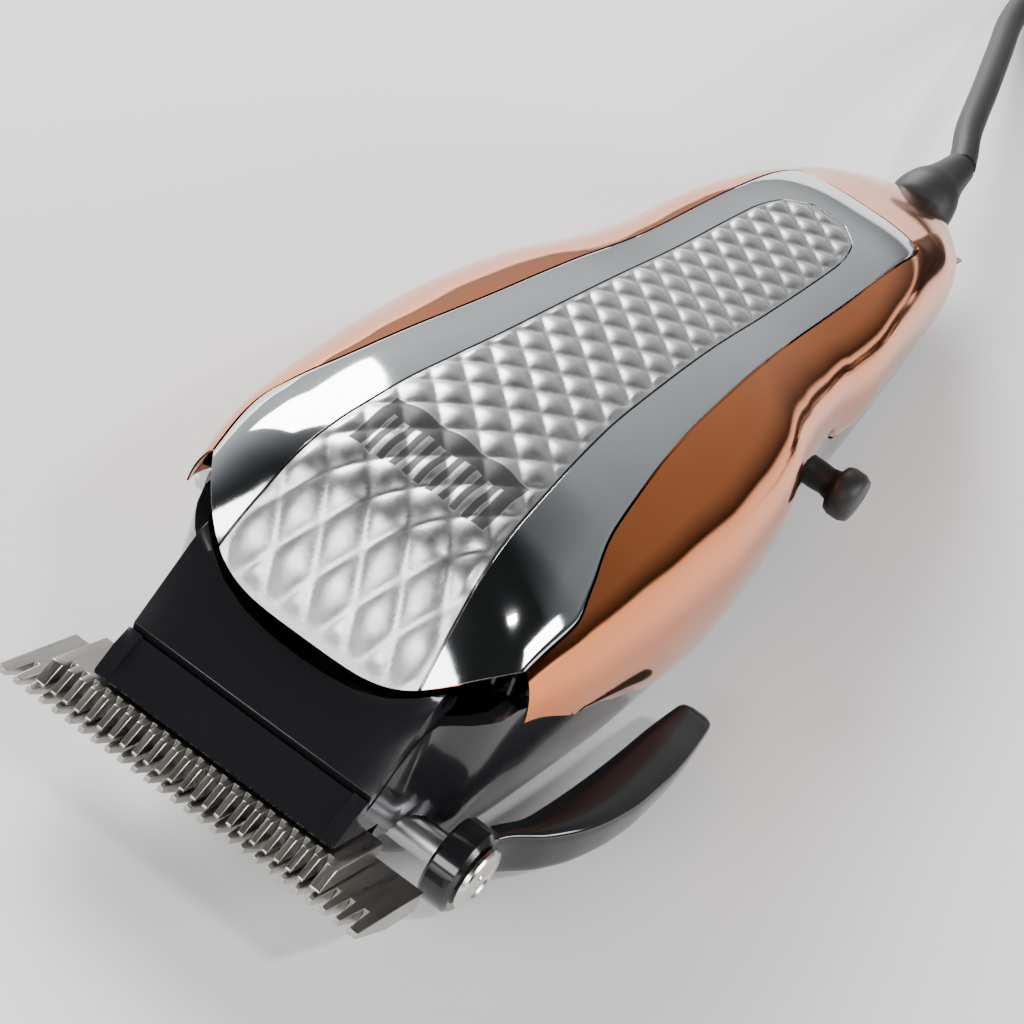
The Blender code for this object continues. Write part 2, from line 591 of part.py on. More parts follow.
# ---- taper lever -----------------------------------------------------------------------------------
def make_lever(hinge):
    pivot = (0, LEVER_Y, LEVER_Z)
    axis = (1, 0, 0)
    work = bmesh.new()
    rings = []
    for y, x_in, x_out, top, low in LEVER_ARM:
        chamfer = min(0.7, (top - low) * 0.3)
        corners = ((x_in + chamfer, top), (x_out - chamfer, top), (x_out, top - chamfer),
                   (x_out, low + chamfer), (x_out - chamfer, low), (x_in + chamfer, low),
                   (x_in, low + chamfer), (x_in, top - chamfer))
        rings.append([work.verts.new((x, y, z)) for x, z in corners])
    for a, b in zip(rings, rings[1:]):
        for k in range(8):
            work.faces.new((a[k], a[k - 1], b[k - 1], b[k]))
    work.faces.new(rings[0])
    work.faces.new(rings[-1])
    lever = add("taper_lever", from_bmesh("taper_lever", work), BLACK, hinge, pivot)
    middle = (HUB_FROM + HUB_TO) / 2
    hub = rod_mesh("hub", (middle, LEVER_Y, LEVER_Z), axis, HUB_RADIUS, HUB_TO - HUB_FROM, 48)
    cut(lever, hub, "UNION")
    cut(lever, rod_mesh("bore", (middle, LEVER_Y, LEVER_Z), axis, 2.35, 12, 32))
    cap = ((0, 25.2), (CAP_RADIUS, 25.2), (CAP_RADIUS, 25.7), (3.4, 26.0), (0, 26.0))
    add("lever_cap", turned_mesh("lever_cap", cap, pivot, axis, 40), NICKEL, hinge, pivot)
    profile = ((0, 11.7), (2.95, 11.7), (2.95, 13.0), (2.0, 13.0), (2.0, 24.6), (0, 24.6))
    shaft = add("lever_shaft", turned_mesh("lever_shaft", profile, pivot, axis, 24), ZINC, hinge, pivot)
    crank = BLADE @ Vector((0, CRANK_U, CRANK_W))
    cut(shaft, rod_mesh("pin", (10.4, crank.y, crank.z), axis, 1.0, 3.4, 20), "UNION")


# ---- motor -----------------------------------------------------------------------------------------
def strip_outline(line, half):
    """Outline of a bent strip: the line shifted to either side by the half-widths."""
    p, h = np.array(line, float), np.array(half)[:, None]
    t = np.gradient(p, axis=0)
    t /= np.linalg.norm(t, axis=1)[:, None]
    side = np.stack((t[:, 1], -t[:, 0]), axis=1) * h
    return [tuple(q) for q in p + side] + [tuple(q) for q in (p - side)[::-1]]


def make_motor(hinge):
    pivot = (PIVOT_X, PIVOT_Y, ARM_LOW)
    flat = strip_outline(ARM_LINE, ARM_HALF)
    arm = add("drive_arm", slab_mesh("drive_arm", flat, ARM_LOW, ARM_HIGH), ZINC, hinge, pivot)
    cut(arm, rod_mesh("eye", (PIVOT_X, PIVOT_Y, 17.6), (0, 0, 1), 4.5, 3.0, 40), "UNION")
    cut(arm, box_mesh("seat", (3.4, SPRING_Y, 16.8), (4.0, 6.0, 5.0)), "UNION")
    cut(arm, rod_mesh("bore", (PIVOT_X, PIVOT_Y, 17.6), (0, 0, 1), 1.8, 6, 24))
    bevel(add("armature", box_mesh("armature", (2.75, 80, 18), (4.1, 36, 12)), IRON, hinge, pivot), 0.4)
    core = ((-14.5, 62), (-1, 62), (-1, 70), (-9.5, 70), (-9.5, 90), (-1, 90), (-1, 98), (-14.5, 98))
    bevel(add("motor_core", slab_mesh("motor_core", core, 12, 24), IRON), 0.3)
    bobbin = add("coil_bobbin", box_mesh("coil_bobbin", (-12, 80, 18), (7.6, 18.6, 14.6)), WHITE)
    cut(bobbin, box_mesh("core_hole", (-12, 80, 18), (5.6, 30, 12.6)))
    winding = add("coil_winding", box_mesh("coil_winding", (-12, 80, 18), (13.6, 16.6, 19.6)), COIL)
    bevel(winding, 2.4, 4)
    cut(winding, box_mesh("bobbin_hole", (-12, 80, 18), (8.2, 30, 15.2)))
    frame = ((62.5, 2.1), (97.5, 2.1), (97.5, 11.7), (90.7, 11.7), (90.7, 5.6), (69.3, 5.6),
             (69.3, 11.7), (62.5, 11.7))
    add("motor_frame", slab_mesh("motor_frame", frame, -10, -2, ALONG_X), ZINC)
    block = add("arm_block", box_mesh("arm_block", (4, 114, 9), (9.4, 11, 13.8)), ZINC)
    cut(block, rod_mesh("bore", (PIVOT_X, PIVOT_Y, 14), (0, 0, 1), 1.8, 16, 24))
    pin = ((0, 6.3), (1.5, 6.3), (1.5, 19.4), (2.8, 19.4), (2.8, 20.2), (0, 20.2))
    add("pivot_pin", turned_mesh("pivot_pin", pin, (PIVOT_X, PIVOT_Y, 0), (0, 0, 1), 24), ZINC)
    bevel(add("terminal_block", box_mesh("terminal_block", (0, 126, 6.1), (13, 8, 8)), WHITE), 0.5)


def spring_route(start, stop, radius, turns):
    """Helix along x through the axis of the power spring."""
    angle = np.linspace(0, math.tau * turns, turns * 8 + 1)
    return [(start + (stop - start) * a / angle[-1], SPRING_Y + radius * math.cos(a),
             SPRING_Z + radius * math.sin(a)) for a in angle]


def make_power_screw(screw_hinge, seat_slide, arm_hinge):
    centre = (0, SPRING_Y, SPRING_Z)
    axis = (1, 0, 0)
    arm = (PIVOT_X, PIVOT_Y, ARM_LOW)
    profile = ((0, -27.2), (2.8, -27.2), (3.2, -26.8), (3.2, -25.5), (1.6, -25.5), (1.6, -16.6), (0, -16.6))
    screw = add("power_screw", turned_mesh("power_screw", profile, centre, axis, 32), ZINC,
                screw_hinge, centre)
    cut(screw, box_mesh("slot", (-27.2, SPRING_Y, SPRING_Z), (1.6, 7, 0.9)))
    seat = ((0, -16.2), (3.0, -16.2), (3.0, -15.0), (0, -15.0))
    add("spring_seat", turned_mesh("spring_seat", seat, centre, axis, 24), ZINC, seat_slide, centre)
    for side, start, stop in (("left", -13.2, 0.7), ("right", 6.1, 18.6)):
        tube("return_spring_" + side, spring_route(start, stop, 2.3, 6), 0.35, ZINC, arm_hinge,
             1, arm)


# ---- switch, screws, cord ----------------------------------------------------------------------------
def make_switch(slide):
    centre = (0, SWITCH_Y, SWITCH_Z)
    body = add("switch_body", box_mesh("switch_body", (12.4, SWITCH_Y, 17), (5.4, 14, 10)), BLACK_MATTE)
    bevel(body, 0.4)
    knob = ((0, 15.4), (2.4, 15.4), (2.4, 16.2), (1.85, 16.5), (1.85, 20.4), (1.75, 21.8), (2.0, 22.8),
            (2.9, 23.2), (3.2, 23.9), (3.2, 25.4), (2.8, 26.2), (0, 26.3))
    add("switch_knob", turned_mesh("switch_knob", knob, centre, (1, 0, 0), 28), BLACK_MATTE, slide, centre)


def make_screws():
    profile = ((0, 0.35), (2.2, 0.35), (2.4, 0.55), (2.4, 1.2), (1.3, 1.2), (1.3, 11.5), (0, 11.5))
    for number, (x, y) in enumerate(SCREWS, 1):
        name = f"case_screw_{number}"
        made = add(name, turned_mesh(name, profile, (x, y, 0), (0, 0, 1), 24), ZINC)
        for size in ((3.2, 0.7, 0.9), (0.7, 3.2, 0.9)):
            cut(made, box_mesh("slot", (x, y, 0.35), size))


def make_cord():
    rings = ((157.6, 9.9, 4.0), (159.2, 9.9, 4.0), (159.25, 9.9, 2.4), (162, 9.8, 2.4), (164.6, 9.9, 2.4),
             (164.65, 9.95, 3.8), (165.6, 10.4, 4.5), (167.4, 11.1, 4.7), (169.6, 11.7, 4.3),
             (172, 12.1, 3.4), (175, 12.4, 2.7), (178.1, 12.6, 2.3))
    add("strain_relief", lofted_mesh("strain_relief", rings), RUBBER)
    tube("cord", smooth_route(CORD_ROUTE, 6.0), CORD_RADIUS, RUBBER, None, 3)
    x, y = COIL_CENTRE
    low, high = 0.3, 0.3 + COIL_HIGH
    near, far, round_off = COIL_RADIUS - COIL_WIDE / 2, COIL_RADIUS + COIL_WIDE / 2, 1.6
    ring = ((near, low + round_off), (near + round_off, low), (far - round_off, low),
            (far, low + round_off), (far, high - round_off), (far - round_off, high),
            (near + round_off, high), (near, high - round_off))
    add("cord_coil", turned_mesh("cord_coil", ring, (x, y, 0), (0, 0, 1), 60), RUBBER)
    px, py, pz = PLUG_PLACE
    stand = Matrix.Translation((px, py, 0)) @ Matrix.Rotation(PLUG_TURN, 4, "Z")
    plug = ((-13, 18), (-13, 8), (-8, 0), (-4, -17), (4, -17), (8, 0), (13, 8), (13, 18))
    made = add("plug_body", slab_mesh("plug_body", plug, 0.4, 14.0, stand), RUBBER)
    bevel(made, 1.2, 3, 20)
    ahead = stand.to_3x3() @ Vector((0, 1, 0))
    profile = ((0, 18.3), (2.0, 18.3), (2.0, 36.0), (1.2, 37.0), (0, 37.0))
    for side, offset in (("left", -9.4), ("right", 9.4)):
        name = "plug_pin_" + side
        base = stand @ Vector((offset, 0, pz))
        add(name, turned_mesh(name, profile, base, ahead, 24), ZINC)


# ---- build -----------------------------------------------------------------------------------------
for old in list(bpy.data.objects):
    bpy.data.objects.remove(old, do_unlink=True)
PARTS = bpy.data.collections.new("hair_clipper")
CUTTERS = bpy.data.collections.new("cutters")
bpy.context.scene.collection.children.link(PARTS)
bpy.context.scene.collection.children.link(CUTTERS)

COPPER = new_material("copper", (0.80, 0.36, 0.19), 0.08, 1.0)
CHROME = new_material("chrome", (0.62, 0.63, 0.65), 0.06, 1.0)
SATIN = new_material("satin_silver", (0.70, 0.70, 0.70), 0.35, 1.0)
BLACK = new_material("black_gloss", (0.012, 0.012, 0.014), 0.18)
BLACK_MATTE = new_material("black_matte", (0.015, 0.015, 0.015), 0.55)
STEEL = new_material("blade_steel", (0.55, 0.53, 0.50), 0.28, 1.0)
NICKEL = new_material("nickel", (0.75, 0.72, 0.66), 0.2, 1.0)
ZINC = new_material("zinc", (0.55, 0.56, 0.58), 0.35, 1.0)
IRON = new_material("motor_iron", (0.12, 0.12, 0.13), 0.5, 0.8)
COIL = new_material("coil_wire", (0.45, 0.16, 0.05), 0.4, 0.6)
WHITE = new_material("white_nylon", (0.75, 0.74, 0.70), 0.5)
RUBBER = new_material("cord_rubber", (0.012, 0.012, 0.012), 0.6)

make_cover()
make_trim()
make_badge()
make_housing()
make_nose_cap()
taper_slide = joint_empty("taper_slide_joint", 0, 18, 9)
cutter_stroke = joint_empty("cutter_stroke_joint", 0, 11, 14)
make_blades(taper_slide, cutter_stroke)
make_carriage(taper_slide)
make_lever(joint_empty("taper_lever_joint", 0, LEVER_Y, LEVER_Z))
drive_hinge = joint_empty("drive_arm_joint", PIVOT_X, PIVOT_Y, ARM_LOW)
make_motor(drive_hinge)
make_power_screw(joint_empty("power_screw_joint", 0, SPRING_Y, SPRING_Z),
                 joint_empty("spring_seat_joint", 0, SPRING_Y, SPRING_Z), drive_hinge)
make_switch(joint_empty("switch_joint", 0, SWITCH_Y, SWITCH_Z))
make_screws()
make_cord()
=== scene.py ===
"""Corded hair clipper lying on a pale studio floor.

Shapes are worked out in millimetres in the design frame: x to the lever side, y back from the blade
tips, z up from the floor. to_world() turns them into metres in the shared frame.
"""

import json
import math

import bmesh
import bpy
import numpy as np
from mathutils import Matrix, Vector

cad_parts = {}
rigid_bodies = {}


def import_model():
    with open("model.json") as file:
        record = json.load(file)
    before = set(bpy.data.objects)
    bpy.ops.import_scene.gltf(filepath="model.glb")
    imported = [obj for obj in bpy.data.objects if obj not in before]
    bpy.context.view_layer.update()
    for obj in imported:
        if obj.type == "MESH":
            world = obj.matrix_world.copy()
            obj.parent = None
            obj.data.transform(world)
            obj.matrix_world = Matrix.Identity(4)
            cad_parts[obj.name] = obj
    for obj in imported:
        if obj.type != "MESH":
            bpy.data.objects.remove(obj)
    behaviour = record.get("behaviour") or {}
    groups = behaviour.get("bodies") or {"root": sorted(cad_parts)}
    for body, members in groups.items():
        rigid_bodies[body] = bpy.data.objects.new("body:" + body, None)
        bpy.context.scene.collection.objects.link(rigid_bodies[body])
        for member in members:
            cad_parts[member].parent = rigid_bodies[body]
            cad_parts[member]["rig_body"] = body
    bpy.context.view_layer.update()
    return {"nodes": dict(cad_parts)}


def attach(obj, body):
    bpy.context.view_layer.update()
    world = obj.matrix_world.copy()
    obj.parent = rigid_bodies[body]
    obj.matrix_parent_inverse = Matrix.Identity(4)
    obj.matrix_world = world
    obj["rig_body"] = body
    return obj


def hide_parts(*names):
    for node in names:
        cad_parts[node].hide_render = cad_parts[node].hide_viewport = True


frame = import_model()

MM = 0.001
MID_Y = 90.0

# ---- sizes of the body, mm ---------------------------------------------------------------------------
BODY_LENGTH = 164.0
WALL = 1.8
GAP = 0.3
WIDTH_Y = (17, 22, 26, 34, 44, 54, 64, 74, 82, 90, 98, 106, 116, 126, 136, 146, 153, 159, 164)
WIDTH = (20.6, 21.3, 22.3, 24.1, 25.0, 25.4, 25.3, 24.5, 23.3, 21.1, 19.3, 18.2, 17.8, 16.6, 15.3,
         14.0, 12.2, 9.6, 6.6)
CROWN_Y = (17, 20, 23, 26, 30, 34, 42, 50, 66, 82, 98, 114, 130, 146, 159, 164)
CROWN = (26.0, 31.0, 35.0, 38.4, 40.4, 41.1, 41.4, 40.9, 38.9, 36.4, 33.2, 30.6, 28.0, 22.4, 17.0, 14.6)
WIDEST_Y = (17, 26, 60, 100, 150, 164)
WIDEST = (22.0, 23.8, 21.2, 17.6, 12.5, 9.4)
ROUND_Y = (17, 26, 45, 80, 110, 164)
ROUND = (4.5, 2.9, 2.7, 2.9, 3.2, 2.6)
PART_Y = (17, 26, 34, 46, 58, 74, 84, 89, 93, 98, 103, 107, 112, 120, 140, 164)
PART_Z = (25.0, 26.4, 23.4, 17.8, 13.0, 11.4, 12.8, 15.6, 20.0, 20.8, 20.0, 15.6, 12.6, 11.0, 10.0, 8.8)
FRONT_Y = 17.2
FRONT_BOW = 5.0e-5
BADGE_Y = (17, 26, 34, 42, 50, 58, 66, 82, 98, 118, 124, 128)
BADGE = (13.0, 11.6, 10.6, 9.8, 8.9, 8.2, 7.8, 7.2, 6.9, 6.5, 5.4, 2.4)
TRIM_Y = (17, 26, 34, 42, 50, 58, 66, 74, 82, 98, 114, 130, 136, 139)
TRIM = (20.2, 20.8, 19.5, 17.4, 15.9, 14.6, 13.6, 12.9, 12.3, 11.3, 11.0, 10.4, 10.1, 9.4)
TRIM_REAR = 139.0
BADGE_REAR = 128.0
TRIM_THICK = 2.0
BADGE_THICK = 1.0
FRONT_FADE_Y = 44          # the front edge's bow has died out here
TUCK = 0.9                 # how far the sides turn in below the widest line
SEAM = 0.12                # clear line beside the chrome band and beside the badge
END_STEP = 0.25            # length of the step where the band or the badge ends

# grids of the cover and the band: columns from the middle to the seam, and from there outward
COVER_COLUMNS, COVER_STEP = (14, 44), 1.3
COVER_STOPS = (FRONT_Y, 18.4, 31, 84, 110, TRIM_REAR, TRIM_REAR + END_STEP, BODY_LENGTH)
TRIM_COLUMNS, TRIM_STEP = (12, 26), 1.0
TRIM_STOPS = (FRONT_Y, 18.4, 31, BADGE_REAR, BADGE_REAR + END_STEP, TRIM_REAR - GAP)
TRIM_SIDE_GAP = 0.15

# the copper wall thins towards its two ends, and its ledge under the band towards the front
THINNEST, THIN_ENDS, THIN_FRONT = 0.12, 8, 9
LEDGE, LEDGE_GAIN = 0.3, 0.9

# quilting of the badge: across and along pitch of the cushions, and their height
QUILT_ACROSS = 5.2
QUILT_Y, QUILT_ALONG = (17, 24, 50, 120, 128), (6.3, 6.2, 5.6, 4.8, 4.8)
QUILT_HEIGHT, QUILT_LEVEL, QUILT_POWER = 0.55, 0.35, 0.62
BADGE_COLUMNS, BADGE_STEP, BADGE_FIT = 71, 0.38, 0.985
BORDER, BORDER_RISE, BORDER_END_RISE = 0.15, 0.6, 0.8

# comb printed on the badge: half width, solid ends, spine and teeth along the body, pitch and soft edges
COMB_HALF, COMB_END = 8.6, 7.0
COMB_SPINE, COMB_TEETH = (36.0, 38.8), (30.2, 36.1)
COMB_PITCH, COMB_GAP, COMB_EDGE, TOOTH_EDGE = 1.55, 0.22, 0.15, 0.08

# taper lever
LEVER_Y, LEVER_Z = 21.5, 8.4
HUB_RADIUS, HUB_FROM, HUB_TO = 5.0, 21.2, 24.9
LEVER_ARM = ((22.0, 21.8, 24.2, 11.6, 5.4), (25.8, 22.8, 25.4, 11.4, 5.2), (30.5, 24.6, 28.6, 11.0, 4.9),
             (35.0, 25.1, 30.6, 10.6, 4.7), (40.0, 25.5, 31.8, 10.1, 4.7), (45.0, 25.8, 32.3, 9.6, 5.0),
             (50.0, 26.0, 32.3, 9.1, 5.4), (54.5, 26.1, 32.0, 8.6, 5.8), (58.8, 26.3, 31.4, 8.0, 6.0),
             (63.0, 26.6, 30.7, 7.5, 5.8))   # y, inner x, outer x, top z, low z
LEVER_POWER = 0.42         # 1 is an ellipse, and less is squarer
LEVER_TIP_Y, LEVER_TIP_RUN, LEVER_TIP_SIZE = 61.8, 1.35, 0.25
HUB_BORE = 2.35

# cord, its coil and the relief it leaves
CORD_RADIUS = 2.0
CORD_ROUTE = ((0, 179.1, 12.6), (-0.6, 181.2, 12.6), (-2.2, 184.6, 12.4), (-4.2, 190.4, 11.9),
              (-7.9, 203.8, 10.0), (-12.7, 220.8, 7.0), (-16.8, 235.6, 4.5), (-18.8, 251, 2.8),
              (-15.7, 266.5, 2.3), (-7.6, 280.4, 2.3), (5.0, 290.4, 2.3), (21.0, 295.1, 2.3))
LYING_Z = 2.3
COIL_X, COIL_Y, COIL_RADIUS = 25.0, 263.0, 22
COIL_PITCH = 4.05
COIL_LAYERS, LAYER_TURNS, RISE_TURNS = 4, 2.9, 0.147
COIL_START, COIL_POINTS = 45, 340
LEAD_IN = ((84, 31.4), (70, 29.9), (58, 28.6))   # degrees and radius about the coil's middle
PLUG_END = (59.5, 246.5, 7.2)
CORD_TAIL = ((51.1, 273.5, 14.45), (53.6, 269.1, 14.2), (56.1, 264.8, 13.2), (58.0, 260.0, 11.5),
             (59.1, 255.4, 9.6), (59.5, 250.5, 7.9))
RELIEF = ((159.2, 9.9, 2.4), (162, 9.8, 2.4), (164.6, 9.9, 2.4), (164.65, 9.95, 3.8), (165.6, 10.4, 4.5),
          (167.4, 11.1, 4.7), (169.6, 11.7, 4.3), (172, 12.1, 3.4), (175, 12.4, 2.7), (178.1, 12.6, 2.3))
COLLAR_ROW = 3             # the first row of RELIEF that belongs to the collar

# studio, in metres and watts: name, place, target, size, power
LIGHTS = (("Large soft light", (-0.85, 0.45, 0.6), (0, 0, 0), (0.8, 0.6), 26),
          ("Right soft light", (0.9, 0.1, 0.45), (0, 0, 0), (0.5, 0.25), 7),
          ("Front soft light", (-0.2, -0.95, 0.5), (0, 0, 0), (0.9, 0.3), 8),
          ("Small window light", (0.45, -0.25, 0.72), (0, -0.05, 0.03), (0.12, 0.05), 2.5))
FLOOR_HALF = 3.0
FLOOR_COLOUR = (0.93, 0.93, 0.93, 1)
CAMERA_PLACE = (0.094329, -0.295968, 0.254351)
CAMERA_TURN = math.radians(19.4872)    # about the vertical
CAMERA_DOWN = math.radians(39.9307)    # below level
CAMERA_ROLL = math.radians(22.2122)    # about its own line of sight
CAMERA_LENS, CAMERA_SENSOR = 116.3, 36.0


# ---- helpers -----------------------------------------------------------------------------------------
def curve(stations, values):
    """A smooth function through the stations: cubic pieces with limited slopes, so it never overshoots."""
    s, v = np.array(stations, float), np.array(values, float)
    step, rise = np.diff(s), np.diff(v) / np.diff(s)
    slope = np.zeros_like(v)
    slope[0], slope[-1] = rise[0], rise[-1]
    same = rise[:-1] * rise[1:] > 0
    weight_a, weight_b = 2 * step[1:] + step[:-1], step[1:] + 2 * step[:-1]
    safe = np.where(same, rise[:-1], 1), np.where(same, rise[1:], 1)
    slope[1:-1] = np.where(same, (weight_a + weight_b) / (weight_a / safe[0] + weight_b / safe[1]), 0)

    def at(y):
        y = np.clip(np.asarray(y, float), s[0], s[-1])
        i = np.clip(np.searchsorted(s, y, side="right") - 1, 0, len(s) - 2)
        t = (y - s[i]) / step[i]
        low = v[i] * (2 * t**3 - 3 * t**2 + 1) + slope[i] * step[i] * (t**3 - 2 * t**2 + t)
        return low + v[i + 1] * (3 * t**2 - 2 * t**3) + slope[i + 1] * step[i] * (t**3 - t**2)
    return at


width, crown = curve(WIDTH_Y, WIDTH), curve(CROWN_Y, CROWN)
widest, roundness = curve(WIDEST_Y, WIDEST), curve(ROUND_Y, ROUND)
parting = curve(PART_Y, PART_Z)
badge_half, trim_half = curve(BADGE_Y, BADGE), curve(TRIM_Y, TRIM)


def to_world(points):
    """Design points in mm as metres in the shared frame."""
    return (np.asarray(points, float) - (0, MID_Y, 0)) * MM


def smooth(t):
    """Zero below 0, one above 1 and an even S between them."""
    t = np.clip(t, 0, 1)
    return t * t * (3 - 2 * t)


def quads(rows, cols, first=0):
    """Faces of a grid of points, rows by columns."""
    corner = first + np.arange(rows - 1)[:, None] * cols + np.arange(cols - 1)[None, :]
    corner = corner.reshape(-1)
    return np.stack((corner, corner + 1, corner + cols + 1, corner + cols), axis=1)


def piece(name, points, faces, paint, body, nodes, sharp=35):
    """A closed mesh from design points and faces, turned outward, painted and riding on its body."""
    mesh = bpy.data.meshes.new(name)
    mesh.from_pydata(to_world(points).tolist(), [], [tuple(int(v) for v in f) for f in faces])
    work = bmesh.new()
    work.from_mesh(mesh)
    bmesh.ops.remove_doubles(work, verts=work.verts, dist=1e-7)
    bmesh.ops.recalc_face_normals(work, faces=work.faces)
    if work.calc_volume(signed=True) < 0:
        bmesh.ops.reverse_faces(work, faces=work.faces)
    work.to_mesh(mesh)
    work.free()
    mesh.shade_smooth()
    mesh.set_sharp_from_angle(angle=math.radians(sharp))
    made = bpy.data.objects.new(name, mesh)
    bpy.context.scene.collection.objects.link(made)
    return finish_piece(made, paint, body, nodes)


def finish_piece(made, paint, body, nodes):
    """Gives a piece its finish, its body and the CAD nodes that it stands for."""
    made.data.materials.clear()
    made.data.materials.append(paint.material)
    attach(made, body)
    if nodes:
        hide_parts(*nodes)
    return made


def shell(name, outer, inner, paint, body, nodes, sharp=35):
    """Two matching grids of points closed into one solid by their four borders."""
    rows, cols = outer.shape[:2]
    count = rows * cols
    faces = [quads(rows, cols), quads(rows, cols, count)[:, ::-1]]
    index = np.arange(count).reshape(rows, cols)
    for line in (index[0], index[-1], index[:, 0], index[:, -1]):
        faces.append(np.stack((line[:-1], line[1:], line[1:] + count, line[:-1] + count), axis=1))
    points = np.vstack((outer.reshape(-1, 3), inner.reshape(-1, 3)))
    return piece(name, points, np.vstack(faces), paint, body, nodes, sharp)


def lathe(name, rings, paint, body, nodes, sharp=35):
    """Loops of points, one per ring, joined in turn and closed by a flat face at each end."""
    rows, cols = rings.shape[:2]
    wrapped = np.concatenate((rings, rings[:, :1]), axis=1)
    faces = [tuple(f) for f in quads(rows, cols + 1)]
    faces.append(tuple(range(cols)))
    faces.append(tuple((rows - 1) * (cols + 1) + k for k in range(cols)))
    return piece(name, wrapped.reshape(-1, 3), faces, paint, body, nodes, sharp)


def rounded_edges(made, size, angle=35):
    """Rounds the edges that are sharper than the angle."""
    edge = made.modifiers.new("Rounded edges", "BEVEL")
    edge.width = size * MM
    edge.segments = 2
    edge.limit_method = "ANGLE"
    edge.angle_limit = math.radians(angle)
    return made


def from_cad(node, paint, name, edge=0.0):
    """The CAD solid with its loose triangles merged, flat faces joined and smooth shading between creases."""
    source = frame["nodes"][node]
    work = bmesh.new()
    work.from_mesh(source.data)
    bmesh.ops.remove_doubles(work, verts=work.verts, dist=2e-6)
    bmesh.ops.dissolve_limit(work, angle_limit=math.radians(0.6), verts=work.verts, edges=work.edges)
    mesh = bpy.data.meshes.new(name)
    work.to_mesh(mesh)
    work.free()
    mesh.shade_smooth()
    mesh.set_sharp_from_angle(angle=math.radians(35))
    made = bpy.data.objects.new(name, mesh)
    bpy.context.scene.collection.objects.link(made)
    if edge:
        rounded_edges(made, edge)
    return finish_piece(made, paint, source["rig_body"], [node])


# ---- materials ---------------------------------------------------------------------------------------
class Value:
    """A shader socket that can be used in sums like a number."""

    def __init__(self, tree, socket):
        self.tree = tree
        self.socket = socket

    def math(self, operation, *others):
        node = self.tree.nodes.new("ShaderNodeMath")
        node.operation = operation
        for slot, item in zip(node.inputs, (self, *others)):
            if isinstance(item, Value):
                self.tree.links.new(item.socket, slot)
            else:
                slot.default_value = item
        return Value(self.tree, node.outputs[0])

    def __add__(self, other):
        return self.math("ADD", other)

    def __radd__(self, other):
        return self.math("ADD", other)

    def __sub__(self, other):
        return self.math("SUBTRACT", other)

    def __rsub__(self, other):
        return self.math("MULTIPLY", -1.0).math("ADD", other)

    def __mul__(self, other):
        return self.math("MULTIPLY", other)

    def __rmul__(self, other):
        return self.math("MULTIPLY", other)

    def __truediv__(self, other):
        return self.math("DIVIDE", other)

    def above(self, limit, soft):
        """Zero below the limit and one above it, with a soft change between."""
        return (self - (limit - soft / 2)).math("DIVIDE", soft).clamped()

    def clamped(self):
        """Held between zero and one."""
        return self.math("MAXIMUM", 0.0).math("MINIMUM", 1.0)


class Paint:
    """A procedural finish: a Principled shader and the nodes that vary it."""

    def __init__(self, slot, colour, roughness, metallic=0.0, coat=0.0):
        self.slot = slot
        self.material = bpy.data.materials.new(slot)
        self.material.use_nodes = True
        self.tree = self.material.node_tree
        self.shader = self.tree.nodes["Principled BSDF"]
        self.shader.inputs["Base Color"].default_value = (*colour, 1)
        self.shader.inputs["Roughness"].default_value = roughness
        self.shader.inputs["Metallic"].default_value = metallic
        self.shader.inputs["Coat Weight"].default_value = coat
        self.place = self.node("ShaderNodeTexCoord", {}, {}).outputs["Object"]

    def node(self, kind, settings, inputs):
        """Any node: its settings are made first, then its inputs are set or linked."""
        made = self.tree.nodes.new(kind)
        for key, value in settings.items():
            setattr(made, key, value)
        for key, value in inputs.items():
            if isinstance(value, Value):
                self.tree.links.new(value.socket, made.inputs[key])
            elif isinstance(value, bpy.types.NodeSocket):
                self.tree.links.new(value, made.inputs[key])
            else:
                made.inputs[key].default_value = value
        return made

    def axes(self):
        """The place on the object along x, y and z, in metres."""
        split = self.node("ShaderNodeSeparateXYZ", {}, {"Vector": self.place})
        return [Value(self.tree, split.outputs[k]) for k in range(3)]

    def noise(self, scale, detail=3.0, stretch=None):
        """Smooth noise between zero and one, drawn out along an axis where stretch is small."""
        vector = self.place
        if stretch:
            moved = self.node("ShaderNodeMapping", {}, {"Vector": self.place, "Scale": stretch})
            vector = moved.outputs[0]
        made = self.node("ShaderNodeTexNoise", {}, {"Vector": vector, "Scale": scale, "Detail": detail})
        return Value(self.tree, made.outputs["Fac"])

    def mix(self, factor, first, second):
        """Colour between first and second."""
        inputs = {"Factor": factor, 6: first, 7: second}
        made = self.node("ShaderNodeMix", {"data_type": "RGBA"}, inputs)
        return made.outputs[2]

    def vary(self, name, value):
        """Feeds one of the shader's sockets."""
        socket = value.socket if isinstance(value, Value) else value
        self.tree.links.new(socket, self.shader.inputs[name])
        return self

    def bump(self, height, strength, distance):
        """Relief from a height, with its distance in metres."""
        made = self.node("ShaderNodeBump", {}, {"Height": height, "Strength": strength,
                                                "Distance": distance})
        return self.vary("Normal", made.outputs[0])


def copper_paint():
    """Polished copper plating with a faint haze."""
    made = Paint("copper", (0.77, 0.24, 0.085), 0.07, 1.0)
    haze = made.noise(45.0, 4.0)
    made.vary("Roughness", 0.055 + haze * 0.05)
    made.vary("Base Color", made.mix(made.noise(20.0), (0.74, 0.22, 0.075, 1), (0.80, 0.26, 0.095, 1)))
    return made


def chrome_paint():
    """Bright chrome with a faint haze."""
    made = Paint("chrome", (0.66, 0.68, 0.70), 0.06, 1.0)
    made.vary("Roughness", 0.05 + made.noise(60.0, 4.0) * 0.04)
    return made


